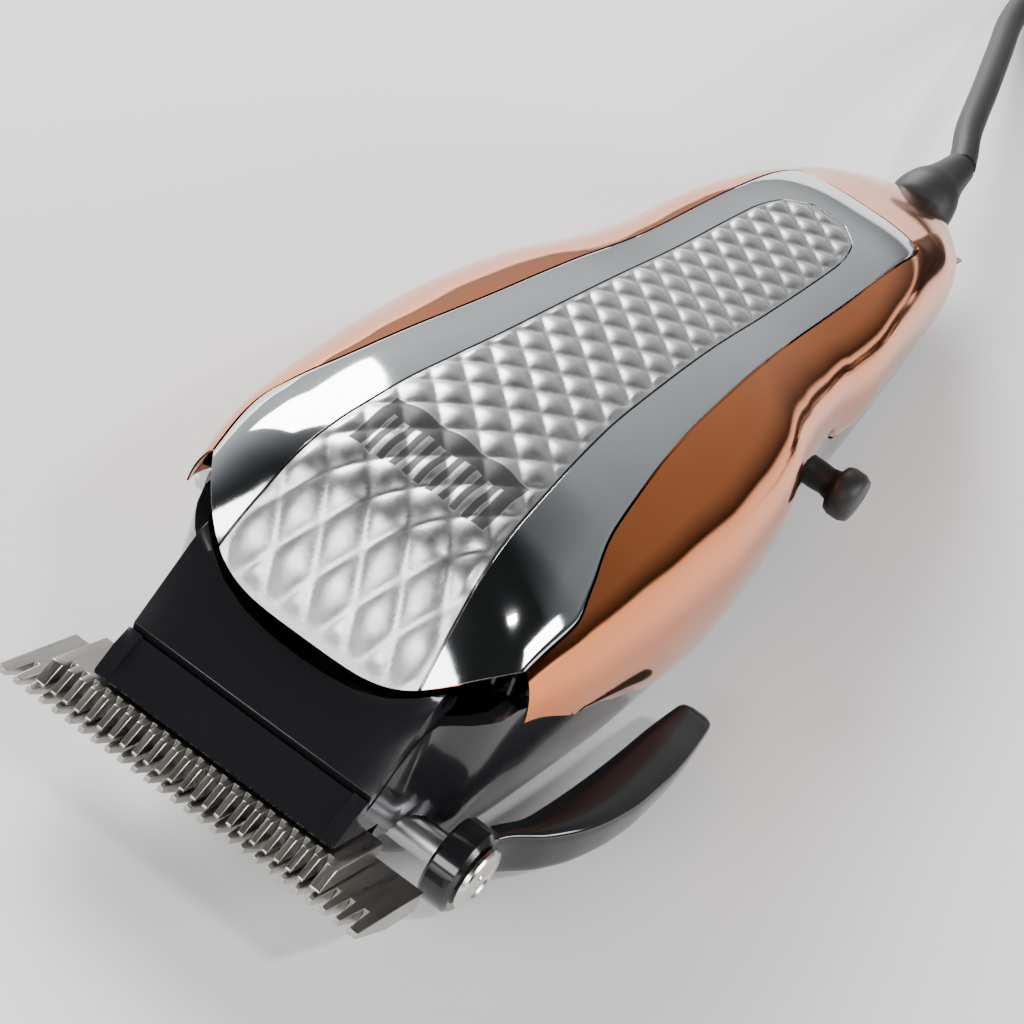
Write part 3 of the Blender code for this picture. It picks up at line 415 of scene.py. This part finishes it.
def satin_paint():
    """Brushed silver with a fine leather-like grain, and a comb printed near the front."""
    made = Paint("satin", (0.76, 0.76, 0.76), 0.34, 1.0)
    x, y, _ = made.axes()
    across = x * 1000.0
    along = y * 1000.0 + MID_Y
    inside = 1.0 - across.math("ABSOLUTE").above(COMB_HALF, COMB_EDGE)
    spine = along.above(COMB_SPINE[0], COMB_EDGE) * (1.0 - along.above(COMB_SPINE[1], COMB_EDGE))
    tooth = ((across / COMB_PITCH).math("FRACT") - 0.5).math("ABSOLUTE").above(COMB_GAP, TOOTH_EDGE)
    thick = across.math("ABSOLUTE").above(COMB_END, COMB_EDGE)
    reach = along.above(COMB_TEETH[0], COMB_EDGE) * (1.0 - along.above(COMB_TEETH[1], COMB_EDGE))
    teeth = reach * tooth.math("MAXIMUM", thick)
    comb = (inside * spine.math("MAXIMUM", teeth)).clamped()
    grain = made.noise(900.0, 5.0)
    cloud = made.noise(160.0, 4.0)
    silver = made.mix(cloud, (0.50, 0.50, 0.51, 1), (0.68, 0.68, 0.67, 1))
    made.vary("Base Color", made.mix(comb, silver, (0.030, 0.030, 0.032, 1)))
    made.vary("Metallic", 1.0 - comb)
    made.vary("Roughness", 0.27 + grain * 0.18 + comb * 0.15)
    return made.bump(grain * 0.6 + cloud * 0.4, 0.25, 0.0002)


def plain_paint(slot, colour, roughness, metallic=0.0, coat=0.0):
    """One colour, with a gloss that varies slightly over the surface."""
    spread = 0.06
    made = Paint(slot, colour, roughness, metallic, coat)
    made.vary("Roughness", roughness - spread / 2 + made.noise(80.0, 4.0) * spread)
    return made


def steel_paint():
    """Ground steel: fine lines along the teeth."""
    made = Paint("blade_steel", (0.60, 0.58, 0.55), 0.28, 1.0)
    lines = made.noise(300.0, 2.0, (8.0, 0.4, 0.4))
    made.vary("Roughness", 0.2 + lines * 0.22)
    made.vary("Base Color", made.mix(made.noise(120.0), (0.34, 0.32, 0.29, 1), (0.50, 0.48, 0.45, 1)))
    return made.bump(lines, 0.12, 0.0001)


PAINTS = {
    "copper": copper_paint(),
    "chrome": chrome_paint(),
    "satin": satin_paint(),
    "black_gloss": plain_paint("black_gloss", (0.012, 0.012, 0.014), 0.14, 0.0, 0.3),
    "black_matte": plain_paint("black_matte", (0.015, 0.015, 0.015), 0.5),
    "blade_steel": steel_paint(),
    "nickel": plain_paint("nickel", (0.78, 0.75, 0.69), 0.22, 1.0),
    "zinc": plain_paint("zinc", (0.55, 0.56, 0.58), 0.35, 1.0),
    "motor_iron": plain_paint("motor_iron", (0.12, 0.12, 0.13), 0.5, 0.8),
    "coil_wire": plain_paint("coil_wire", (0.45, 0.16, 0.05), 0.4, 0.6),
    "white_nylon": plain_paint("white_nylon", (0.75, 0.74, 0.70), 0.5),
    "cord_rubber": plain_paint("cord_rubber", (0.014, 0.014, 0.014), 0.55),
}


# ---- skin of the top -----------------------------------------------------------------------------------
def front_shift(x, y):
    """How far back the curved front edge pushes a point: the bow times x to the fourth power."""
    fade = np.clip((FRONT_FADE_Y - y) / (FRONT_FADE_Y - FRONT_Y), 0, 1)
    return FRONT_BOW * np.abs(x) ** 4 * fade


def skin_height(x, y):
    """Height of a superellipse section at station y, over x."""
    n = roundness(y)
    ratio = np.clip(np.abs(x) / width(y), 0, 1) ** n
    return widest(y) + (crown(y) - widest(y)) * (1 - ratio) ** (1 / n)


def side_row(y, start, count):
    """Points down one side of a section, from x = start on the skin to the parting line."""
    n, w, low, top = float(roundness(y)), float(width(y)), float(widest(y)), float(crown(y))
    line = float(parting(y))
    begin = math.asin(min(1.0, (start / w) ** (n / 2)))
    end = math.pi / 2
    if line > low:
        end = math.acos(((line - low) / (top - low)) ** (n / 2))
    angle = np.clip(np.linspace(begin, max(end, begin + 0.02), 120), 0, math.pi / 2 - 1e-9)
    x = w * np.sin(angle) ** (2 / n)
    z = low + (top - low) * np.cos(angle) ** (2 / n)
    if line < low:
        drop = np.linspace(0, 1, 24)[1:]
        x = np.append(x, w - TUCK * drop**2)
        z = np.append(z, low - (low - line) * drop)
    along = np.concatenate(([0], np.cumsum(np.hypot(np.diff(x), np.diff(z)))))
    stops = np.linspace(0, along[-1], count)
    return np.interp(stops, along, x), np.interp(stops, along, z)


def top_points(columns, rows):
    """Skin points for columns of x, one row of them per station."""
    station = rows[:, None] + front_shift(columns, rows[:, None])
    return np.stack((columns, station, skin_height(columns, station)), axis=2)


def outward(grid):
    """Unit normals of a grid of points that runs from left to right and from front to rear."""
    out = np.cross(np.gradient(grid, axis=1), np.gradient(grid, axis=0))
    return out / np.linalg.norm(out, axis=2)[:, :, None]


def mirrored(half):
    """A grid from its right half, which starts on the middle line."""
    return np.concatenate((half[:, :0:-1] * (-1, 1, 1), half), axis=1)


def spaced(stops, step):
    """Stations no further apart than step, that keep every stop."""
    runs = [np.linspace(a, b, max(2, math.ceil((b - a) / step) + 1))[:-1] for a, b in zip(stops, stops[1:])]
    return np.concatenate(runs + [[stops[-1]]])


def parts_of(columns):
    """For each column of a mirrored grid, 0 from the middle to the seam and 1 from there outward."""
    half = np.repeat((0, 1), columns)
    return np.concatenate((half[:0:-1], half))


def make_cover():
    """Copper shell: recessed under the band, and its sides run down to the parting line."""
    rows = spaced(COVER_STOPS, COVER_STEP)
    half_trim = trim_half(rows)
    top = top_points(half_trim[:, None] * np.linspace(0, 1, COVER_COLUMNS[0]), rows)
    edge = rows + front_shift(half_trim, rows)
    sides = []
    for y, start in zip(edge, half_trim + SEAM):
        x, z = side_row(y, start, COVER_COLUMNS[1])
        sides.append(np.stack((x, np.full_like(x, y), z), axis=1))
    grid = mirrored(np.concatenate((top, np.array(sides)), axis=1))
    facing = outward(grid)
    covered = (rows <= TRIM_REAR)[:, None] & (parts_of(COVER_COLUMNS) == 0)[None, :]
    recess = np.where(covered, TRIM_THICK + GAP, 0)
    thin_front = np.clip((rows - FRONT_Y) / THIN_FRONT, 0, 1)[:, None]
    thin_ends = np.clip(np.minimum(rows - FRONT_Y, BODY_LENGTH - rows) / THIN_ENDS, THINNEST, 1)[:, None]
    depth = np.where(covered, TRIM_THICK + GAP + LEDGE + LEDGE_GAIN * thin_front, WALL * thin_ends)
    outer = grid - facing * recess[:, :, None]
    inner = grid - facing * depth[:, :, None]
    rim = [0, -1]
    inner[:, rim] = outer[:, rim]
    inner[:, rim, 0] -= np.sign(outer[:, rim, 0]) * (WALL - 0.2) * thin_ends
    outer[:, rim, 2] += GAP / 2
    inner[:, rim, 2] += GAP / 2
    shell("copper_top_cover", outer, inner, PAINTS["copper"], "case", ["top_cover"], 40)


def make_trim():
    """Chrome band: it stands level with the copper and dips under the badge."""
    rows = spaced(TRIM_STOPS, TRIM_STEP)
    half_badge, half_trim = badge_half(rows)[:, None], trim_half(rows)[:, None]
    under = half_badge * np.linspace(0, 1, TRIM_COLUMNS[0])
    over = half_badge + SEAM + (half_trim - half_badge - SEAM) * np.linspace(0, 1, TRIM_COLUMNS[1])
    grid = mirrored(top_points(np.concatenate((under, over), axis=1), rows))
    facing = outward(grid)
    under_badge = (rows <= BADGE_REAR)[:, None] & (parts_of(TRIM_COLUMNS) == 0)[None, :]
    depth = np.where(under_badge, BADGE_THICK + GAP, 0)
    outer = grid - facing * depth[:, :, None]
    inner = grid - facing * TRIM_THICK
    for side in (outer, inner):
        side[:, [0, -1], 0] -= np.sign(side[:, [0, -1], 0]) * TRIM_SIDE_GAP
    made = shell("chrome_side_trim", outer, inner, PAINTS["chrome"], "case", ["chrome_trim"], 40)
    rounded_edges(made, 0.12, 50)


def quilt(x, y):
    """Height of the cushions: two families of slanted grooves with a soft pillow between them."""
    fine = np.linspace(QUILT_Y[0], QUILT_Y[-1], 500)
    steps = np.concatenate(([0], np.cumsum(np.diff(fine) / np.interp(fine[1:], QUILT_Y, QUILT_ALONG))))
    row = np.interp(y, fine, steps)
    first = np.abs(np.sin(math.pi * (row + x / QUILT_ACROSS)))
    second = np.abs(np.sin(math.pi * (row - x / QUILT_ACROSS)))
    return (first * second) ** QUILT_POWER


def make_badge():
    """Quilted plate: the skin raised by the cushions, which die out in a plain border all round."""
    rows = spaced((FRONT_Y, 18.0, BADGE_REAR - 0.4), BADGE_STEP)
    half = badge_half(rows)[:, None]
    columns = half * np.linspace(-1, 1, BADGE_COLUMNS) * BADGE_FIT
    grid = top_points(columns, rows)
    facing = outward(grid)
    x, y = grid[:, :, 0], grid[:, :, 1]
    to_edge = half * BADGE_FIT - np.abs(columns)
    border = smooth((to_edge - BORDER) / BORDER_RISE) * smooth((y - FRONT_Y - 0.6) / BORDER_END_RISE)
    border *= smooth((BADGE_REAR - 1.0 - y) / BORDER_END_RISE)
    lift = QUILT_HEIGHT * (quilt(x, y) - QUILT_LEVEL) * border
    outer = grid + facing * lift[:, :, None]
    inner = grid - facing * BADGE_THICK
    shell("quilted_silver_badge", outer, inner, PAINTS["satin"], "case", ["quilted_badge"], 60)


# ---- lever, relief and cord ------------------------------------------------------------------------------
def turned(name, profile, centre, paint, body, nodes):
    """A profile of (x, radius) turned about a line along x through (y, z); it closes on itself as a ring,
    or starts and ends on the line."""
    angle = np.append(np.arange(64) * math.tau / 64, 0)
    p = np.array(profile, float)
    x = np.broadcast_to(p[:, 0][:, None], (len(p), len(angle)))
    y = centre[0] + p[:, 1][:, None] * np.cos(angle)
    z = centre[1] + p[:, 1][:, None] * np.sin(angle)
    points = np.stack((x, y, z), axis=2).reshape(-1, 3)
    return piece(name, points, quads(len(p), len(angle)), paint, body, nodes, 25)


def make_lever():
    """Horn-shaped arm, whose sections are squared ellipses that close at the tip, and its round hub."""
    table = np.array(LEVER_ARM)
    stations = np.linspace(table[0, 0], table[-1, 0], 60)
    inner_x, outer_x, top, low = [curve(table[:, 0], table[:, k])(stations) for k in (1, 2, 3, 4)]
    closing = np.sqrt(np.clip(1 - ((stations - LEVER_TIP_Y) / LEVER_TIP_RUN).clip(0, 1) ** 2, 0.0, 1))
    size = LEVER_TIP_SIZE + (1 - LEVER_TIP_SIZE) * closing
    angle = np.arange(40) * math.tau / 40
    cos, sin = np.cos(angle), np.sin(angle)
    side = np.sign(cos) * np.abs(cos) ** LEVER_POWER
    up = np.sign(sin) * np.abs(sin) ** LEVER_POWER
    half_x = ((outer_x - inner_x) / 2 * size)[:, None]
    half_z = ((top - low) / 2 * size)[:, None]
    x = ((outer_x + inner_x) / 2)[:, None] + half_x * side
    z = ((top + low) / 2)[:, None] + half_z * up
    y = np.broadcast_to(stations[:, None], x.shape)
    rings = np.stack((x, y, z), axis=2)
    lathe("lever_arm", rings, PAINTS["black_gloss"], "lever", ["taper_lever"])
    profile = ((HUB_FROM, HUB_BORE), (HUB_FROM, 4.6), (HUB_FROM + 0.4, HUB_RADIUS),
               (HUB_TO - 0.5, HUB_RADIUS), (HUB_TO, 4.5), (HUB_TO, HUB_BORE), (HUB_FROM, HUB_BORE))
    turned("lever_hub", profile, (LEVER_Y, LEVER_Z), PAINTS["black_gloss"], "lever", [])


def make_cap():
    """Nickel cap on the lever's shaft with a shallow ring turned into its face."""
    profile = ((25.2, 0), (25.2, 3.75), (25.62, 3.75), (25.86, 3.55), (25.95, 3.2), (25.97, 2.4),
               (25.75, 2.2), (25.75, 0.9), (25.95, 0.7), (25.97, 0))
    turned("lever_pivot_cap", profile, (LEVER_Y, LEVER_Z), PAINTS["nickel"], "lever", ["lever_cap"])


def make_relief():
    """Moulded strain relief: a waist in the shell, a fat collar and a taper to the cord."""
    table = np.array(RELIEF)
    collar = table[COLLAR_ROW:]
    fine = np.concatenate((table[:COLLAR_ROW + 1, 0], np.linspace(164.9, collar[-1, 0], 40)))
    straight = [np.interp(fine, table[:, 0], table[:, k]) for k in (1, 2)]
    curved = [curve(collar[:, 0], collar[:, k])(fine) for k in (1, 2)]
    height, radius = [np.where(fine >= collar[0, 0], c, s) for c, s in zip(curved, straight)]
    angle = np.arange(48) * math.tau / 48
    x = radius[:, None] * np.cos(angle)
    z = height[:, None] + radius[:, None] * np.sin(angle)
    rings = np.stack((x, np.broadcast_to(fine[:, None], x.shape), z), axis=2)
    lathe("cord_strain_relief", rings, PAINTS["cord_rubber"], "case", ["strain_relief"])


def smooth_route(points, spacing):
    """Points at an even spacing on a Catmull-Rom curve through the given points."""
    p = np.array(points, float)
    p = np.vstack((2 * p[0] - p[1], p, 2 * p[-1] - p[-2]))
    dense = []
    for i in range(1, len(p) - 2):
        t = np.linspace(0, 1, 40, endpoint=False)[:, None]
        dense.append(0.5 * (2 * p[i] + (p[i + 1] - p[i - 1]) * t
                            + (2 * p[i - 1] - 5 * p[i] + 4 * p[i + 1] - p[i + 2]) * t**2
                            + (3 * p[i] - p[i - 1] - 3 * p[i + 1] + p[i + 2]) * t**3))
    dense = np.vstack(dense + [p[-2:-1]])
    along = np.concatenate(([0], np.cumsum(np.linalg.norm(np.diff(dense, axis=0), axis=1))))
    stops = np.linspace(0, along[-1], max(2, round(along[-1] / spacing)) + 1)
    return np.stack([np.interp(stops, along, dense[:, k]) for k in range(3)], axis=1)


def around_coil(radius, angle, z):
    """Points at a radius and an angle about the coil's middle line."""
    return np.stack((COIL_X + radius * np.cos(angle), COIL_Y + radius * np.sin(angle), z), axis=1)


def coil_line():
    """Flat spirals in layers, wound inward and outward in turn, with a short rise between layers."""
    reach = LAYER_TURNS * COIL_PITCH / 2
    turns = [0.0]
    radius = [COIL_RADIUS + reach]
    height = [LYING_Z]
    for layer in range(COIL_LAYERS):
        turns.append(turns[-1] + LAYER_TURNS)
        radius.append(COIL_RADIUS - reach if layer % 2 == 0 else COIL_RADIUS + reach)
        height.append(height[-1])
        if layer < COIL_LAYERS - 1:
            turns.append(turns[-1] + RISE_TURNS)
            radius.append(radius[-1])
            height.append(height[-1] + COIL_PITCH)
    t = np.linspace(0, turns[-1], COIL_POINTS)
    angle = math.radians(COIL_START) - math.tau * t
    return around_coil(np.interp(t, turns, radius), angle, np.interp(t, turns, height))


def make_cord():
    """The cord on one line: its route, a lead-in, the coil and the tail to the plug, which is kept."""
    angle, radius = np.array(LEAD_IN).T
    lead = around_coil(radius, np.radians(angle), np.full(len(radius), LYING_Z))
    points = np.vstack((smooth_route(CORD_ROUTE, 4.0), lead, coil_line(), CORD_TAIL, [PLUG_END]))
    line = bpy.data.curves.new("power_cord", "CURVE")
    line.dimensions = "3D"
    line.bevel_depth = CORD_RADIUS * MM
    line.bevel_resolution = 4
    line.use_fill_caps = True
    run = line.splines.new("POLY")
    run.points.add(len(points) - 1)
    flat = np.column_stack((to_world(points), np.ones(len(points))))
    run.points.foreach_set("co", flat.astype(np.float32).reshape(-1))
    run.use_smooth = True
    made = bpy.data.objects.new("power_cord", line)
    bpy.context.scene.collection.objects.link(made)
    finish_piece(made, PAINTS["cord_rubber"], "case", ["cord", "cord_coil"])
    plug = [from_cad("plug_body", PAINTS["cord_rubber"], "moulded_plug", 0.3)]
    for side in ("left", "right"):
        plug.append(from_cad("plug_pin_" + side, PAINTS["zinc"], "plug_prong_" + side))


# ---- what is kept from the CAD, merged and rounded ---------------------------------------------------------
KEPT = {
    "black_gloss": (("lower_housing", 0.25), ("nose_cap", 0.2)),
    "black_matte": (("switch_body", 0.2), ("switch_knob", 0)),
    "blade_steel": (("fixed_blade", 0.1), ("moving_blade", 0.1)),
    "zinc": (("blade_screw_left", 0.1), ("blade_screw_right", 0.1), ("blade_spring", 0), ("lever_shaft", 0),
             ("drive_arm", 0.1), ("motor_frame", 0.2), ("arm_block", 0.2), ("pivot_pin", 0),
             ("power_screw", 0.1), ("spring_seat", 0), ("return_spring_left", 0),
             ("return_spring_right", 0), ("case_screw_1", 0.05), ("case_screw_2", 0.05),
             ("case_screw_3", 0.05), ("case_screw_4", 0.05)),
    "motor_iron": (("motor_core", 0.2), ("armature", 0.2)),
    "coil_wire": (("coil_winding", 0.2),),
    "white_nylon": (("cutter_guide", 0.15), ("taper_carriage", 0.15), ("coil_bobbin", 0.2),
                    ("terminal_block", 0.2)),
}


def keep_the_rest():
    """Every other CAD solid, by finish, with the size of its rounded edges in mm."""
    for slot, nodes in KEPT.items():
        for node, edge in nodes:
            from_cad(node, PAINTS[slot], node + "_finished", edge)


# ---- studio ------------------------------------------------------------------------------------------------
def make_lights():
    """Rectangular soft lights, each turned to its target."""
    for name, place, target, size, power in LIGHTS:
        light = bpy.data.lights.new(name, "AREA")
        light.shape = "RECTANGLE"
        light.size, light.size_y = size
        light.energy = power
        made = bpy.data.objects.new(name, light)
        made.location = place
        made.rotation_euler = (Vector(target) - Vector(place)).to_track_quat("-Z", "Y").to_euler()
        bpy.context.scene.collection.objects.link(made)


def make_floor():
    """A pale matt square that the object lies on."""
    mesh = bpy.data.meshes.new("studio_floor")
    corners = [(-1, -1, 0), (1, -1, 0), (1, 1, 0), (-1, 1, 0)]
    mesh.from_pydata([(x * FLOOR_HALF, y * FLOOR_HALF, z) for x, y, z in corners], [], [(0, 1, 2, 3)])
    paint = bpy.data.materials.new("studio_floor")
    paint.use_nodes = True
    shader = paint.node_tree.nodes["Principled BSDF"]
    shader.inputs["Base Color"].default_value = FLOOR_COLOUR
    shader.inputs["Roughness"].default_value = 0.9
    shader.inputs["Specular IOR Level"].default_value = 0.1
    mesh.materials.append(paint)
    made = bpy.data.objects.new("studio_floor", mesh)
    bpy.context.scene.collection.objects.link(made)


def make_world():
    """A room that is bright to the left and behind, and darker to the right and in front: the square of
    how far left a direction points, and a band above the horizon behind."""
    world = bpy.data.worlds.new("Studio")
    bpy.context.scene.world = world
    world.use_nodes = True
    tree = world.node_tree
    coords = tree.nodes.new("ShaderNodeTexCoord")
    split = tree.nodes.new("ShaderNodeSeparateXYZ")
    tree.links.new(coords.outputs["Generated"], split.inputs[0])
    x, y, z = [Value(tree, split.outputs[k]) for k in range(3)]
    left = (0.8 * (0.0 - x) + 0.45 * y - 0.25 * z).clamped()
    behind = (y * 1.3 - 0.25).clamped() * (1.0 - z.above(0.78, 0.3)) * z.above(0.12, 0.25)
    level = (0.02 + left * left * 0.9 + behind * 0.42).clamped()
    background = tree.nodes["Background"]
    tint = tree.nodes.new("ShaderNodeCombineColor")
    tree.links.new((level * 0.96).socket, tint.inputs[0])
    tree.links.new((level * 0.98).socket, tint.inputs[1])
    tree.links.new(level.socket, tint.inputs[2])
    tree.links.new(tint.outputs[0], background.inputs["Color"])
    background.inputs["Strength"].default_value = 1.0


def make_camera():
    """A long lens that looks back along the body from the front right, down and rolled."""
    lens = bpy.data.cameras.new("Camera")
    lens.sensor_width = CAMERA_SENSOR
    lens.lens = CAMERA_LENS
    lens.clip_start = 0.01
    made = bpy.data.objects.new("Camera", lens)
    turn = Matrix.Rotation(CAMERA_TURN, 4, "Z") @ Matrix.Rotation(math.pi / 2 - CAMERA_DOWN, 4, "X")
    made.matrix_world = Matrix.Translation(CAMERA_PLACE) @ turn @ Matrix.Rotation(CAMERA_ROLL, 4, "Z")
    bpy.context.scene.collection.objects.link(made)
    bpy.context.scene.camera = made


make_camera()
make_floor()
make_world()
make_lights()
make_cover()
make_trim()
make_badge()
make_lever()
make_cap()
make_relief()
make_cord()
keep_the_rest()
